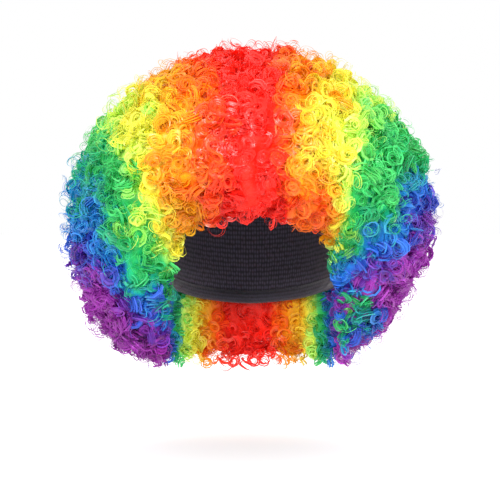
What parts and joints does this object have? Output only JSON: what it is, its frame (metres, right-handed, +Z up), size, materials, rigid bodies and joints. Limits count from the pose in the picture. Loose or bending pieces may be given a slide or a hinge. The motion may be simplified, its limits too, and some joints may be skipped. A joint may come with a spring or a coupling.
{
  "type": "clown wig",
  "caption": "Curly clown wig: a ball of tight ringlets in rainbow stripes on a stretch cap with an elastic edge, open at the face and neck.",
  "frame": {"origin": "inside of the cap's crown, where it sits on the head", "axes": "+Z up, -Y the way the face looks, +X the wearer's left"},
  "size_m": [0.299, 0.286, 0.262],
  "materials": {
    "cap_net": "dark stretch net",
    "elastic": "ribbed elastic binding",
    "hair_red": "curled synthetic fibre with a soft sheen",
    "hair_orange": "curled synthetic fibre with a soft sheen",
    "hair_yellow": "curled synthetic fibre with a soft sheen",
    "hair_green": "curled synthetic fibre with a soft sheen",
    "hair_blue": "curled synthetic fibre with a soft sheen",
    "hair_purple": "curled synthetic fibre with a soft sheen"
  },
  "bodies": {
    "root": {"cap": "cap_net", "elastic_band": "elastic", "hair_red": "hair_red", "hair_orange_left": "hair_orange", "hair_orange_right": "hair_orange", "hair_yellow_left": "hair_yellow", "hair_yellow_right": "hair_yellow", "hair_green_left": "hair_green", "hair_green_right": "hair_green", "hair_blue_left": "hair_blue", "hair_blue_right": "hair_blue", "hair_purple_left": "hair_purple", "hair_purple_right": "hair_purple"}
  },
  "joints": []
}
